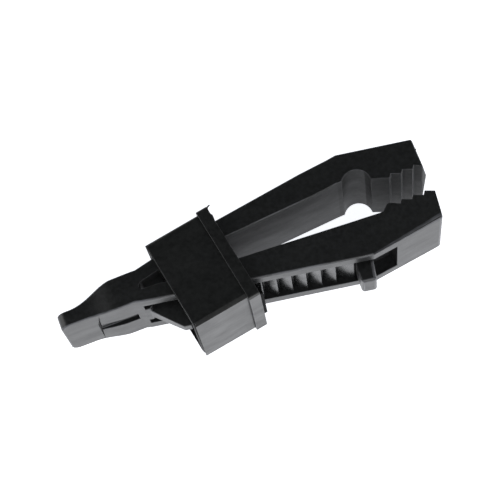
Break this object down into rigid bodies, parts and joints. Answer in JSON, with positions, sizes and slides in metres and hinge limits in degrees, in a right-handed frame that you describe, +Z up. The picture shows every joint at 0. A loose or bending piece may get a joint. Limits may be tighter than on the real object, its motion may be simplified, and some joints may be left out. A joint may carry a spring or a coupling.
{
  "type": "sliding-collar spring clamp",
  "caption": "V-shaped one-piece plastic spring clip with toothed jaws, a ratchet channel down one arm and a sliding collar that squeezes the jaws shut.",
  "frame": {"origin": "middle of the clamp's outline, on the surface that it lies on, with the clamp lying on the side of its collar", "axes": "+X from the finger tab to the jaw tips, +Y from the ratchet arm to the plain arm, +Z up through the width of the arms"},
  "size_m": [0.093, 0.0298, 0.0267],
  "materials": {
    "clip_plastic": "fine moulded satin",
    "collar_plastic": "fine moulded satin"
  },
  "bodies": {
    "clip_base": {"finger_tab": "clip_plastic", "spring_root": "clip_plastic", "lower_arm": "clip_plastic", "lower_jaw": "clip_plastic", "ratchet_ribs": "clip_plastic", "end_ramp": "clip_plastic", "stop_peg": "clip_plastic", "ramp_fin": "clip_plastic"},
    "plain_arm": {"upper_arm": "clip_plastic", "upper_jaw": "clip_plastic"},
    "collar": {"collar_barrel": "collar_plastic", "collar_flange": "collar_plastic", "collar_catch": "collar_plastic"}
  },
  "joints": [
    {"name": "arm_flex", "type": "hinge", "parent": "clip_base", "child": "plain_arm", "pos_m": [-0.0258, 0.00393, 0.01335], "axis": [0, 0, 1], "range_deg": [-4.3, 0], "stiffness_Nm_per_rad": 0.5},
    {"name": "collar_slide", "type": "slide", "parent": "plain_arm", "child": "collar", "axis": [0.9877, 0.1564, 0], "range_m": [0, 0.0125]}
  ],
  "couplings": [
    {"joint": "arm_flex", "follows": "collar_slide", "rad_per_m": -6.003}
  ]
}
